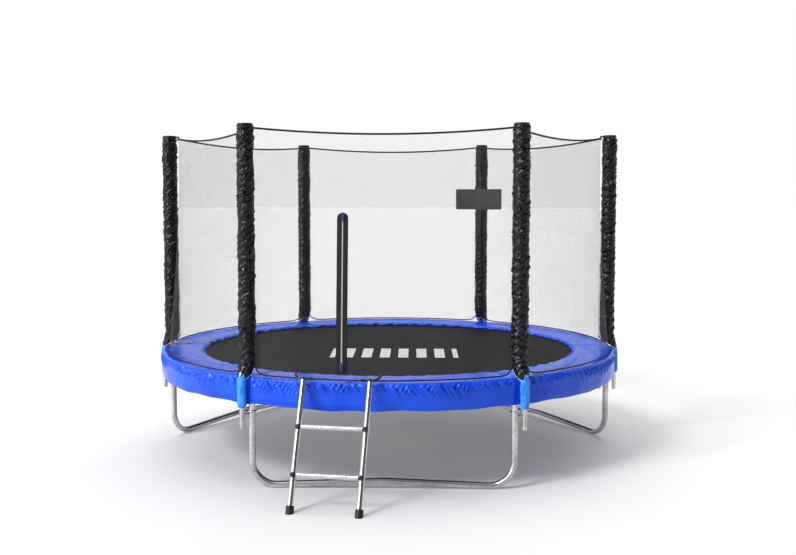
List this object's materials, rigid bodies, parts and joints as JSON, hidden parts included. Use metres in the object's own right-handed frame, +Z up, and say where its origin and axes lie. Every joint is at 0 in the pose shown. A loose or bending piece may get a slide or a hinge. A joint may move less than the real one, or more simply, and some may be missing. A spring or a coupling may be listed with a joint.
{
  "type": "backyard trampoline",
  "caption": "Round garden trampoline with sprung jumping mat, padded edge, safety net on foam-sleeved poles, zip door and a short hook-on ladder.",
  "frame": {"origin": "on the ground under the middle of the round frame", "axes": "+Z up; the way in, with its ladder and zip door, is on the -Y side; +X to the right seen from there"},
  "size_m": [3.137, 3.3911, 2.074],
  "materials": {
    "galvanised": "galvanised, satin",
    "zinc": "zinc plated",
    "ladder_silver": "silver, satin",
    "black_plastic": "moulded",
    "sleeve_film": "glossy wrinkled film over foam",
    "azure_cloth": "coated cloth",
    "net": "fine open mesh",
    "black_rope": "braided",
    "black_cloth": "woven tape",
    "slider_metal": "dark lacquer",
    "blue_vinyl": "glossy coated vinyl over foam",
    "mat_weave": "tight woven polypropylene",
    "black_rubber": "moulded"
  },
  "bodies": {
    "frame": {"badge": "black_plastic", "edge_pad_1": "blue_vinyl", "edge_pad_2": "blue_vinyl", "edge_pad_3": "blue_vinyl", "edge_pad_4": "blue_vinyl", "edge_pad_5": "blue_vinyl", "edge_pad_6": "blue_vinyl", "foam_sleeve_1": "sleeve_film", "foam_sleeve_2": "sleeve_film", "foam_sleeve_3": "sleeve_film", "foam_sleeve_4": "sleeve_film", "foam_sleeve_5": "sleeve_film", "foam_sleeve_6": "sleeve_film", "leg_base_front": "galvanised", "leg_base_left": "galvanised", "leg_base_right": "galvanised", "leg_uprights": "galvanised", "lower_pole_1": "galvanised", "lower_pole_2": "galvanised", "lower_pole_3": "galvanised", "lower_pole_4": "galvanised", "lower_pole_5": "galvanised", "lower_pole_6": "galvanised", "net_hem": "black_rope", "net_panel_1": "net", "net_panel_2": "net", "net_panel_3": "net", "net_panel_4": "net", "net_panel_5": "net", "net_panel_6": "net", "net_rope": "black_rope", "pad_ties": "black_cloth", "pole_boots": "azure_cloth", "pole_caps": "black_plastic", "pole_clamps": "zinc", "springs": "zinc", "top_rail_1": "galvanised", "top_rail_2": "galvanised", "top_rail_3": "galvanised", "top_rail_4": "galvanised", "top_rail_5": "galvanised", "top_rail_6": "galvanised", "upper_poles": "galvanised", "zip_tape": "black_cloth"},
    "bed": {"mat": "mat_weave", "mat_edge": "black_cloth", "wire_rings": "zinc"},
    "ladder": {"ladder_bolts": "black_plastic", "ladder_feet": "black_rubber", "ladder_hooks": "black_rubber", "ladder_rail_left": "ladder_silver", "ladder_rail_right": "ladder_silver", "ladder_step_lower": "ladder_silver", "ladder_step_upper": "ladder_silver"},
    "slider_top": {"zip_slider_top": "slider_metal"},
    "slider_bottom": {"zip_slider_bottom": "slider_metal"},
    "pull_top": {"zip_pull_top": "slider_metal"},
    "pull_bottom": {"zip_pull_bottom": "slider_metal"}
  },
  "joints": [
    {"name": "bed_bounce", "type": "slide", "parent": "frame", "child": "bed", "axis": [0, 0, 1], "range_m": [-0.28, 0], "stiffness_N_per_m": 4500, "springref_m": 0.0065, "deforming": ["springs"]},
    {"name": "ladder_lift", "type": "slide", "parent": "frame", "child": "ladder", "axis": [0, 0, 1], "range_m": [0, 0.25]},
    {"name": "zip_top_slide", "type": "slide", "parent": "frame", "child": "slider_top", "axis": [0, 0.1793, 0.9838], "range_m": [-0.38, 0]},
    {"name": "zip_bottom_slide", "type": "slide", "parent": "frame", "child": "slider_bottom", "axis": [0, 0.1793, 0.9838], "range_m": [0, 0.38]},
    {"name": "zip_top_pull", "type": "hinge", "parent": "slider_top", "child": "pull_top", "pos_m": [-0.22477, -1.32393, 1.5568], "axis": [-1, 0, 0], "range_deg": [0, 100]},
    {"name": "zip_bottom_pull", "type": "hinge", "parent": "slider_bottom", "child": "pull_bottom", "pos_m": [-0.22477, -1.47363, 0.73532], "axis": [-1, 0, 0], "range_deg": [0, 100]}
  ]
}
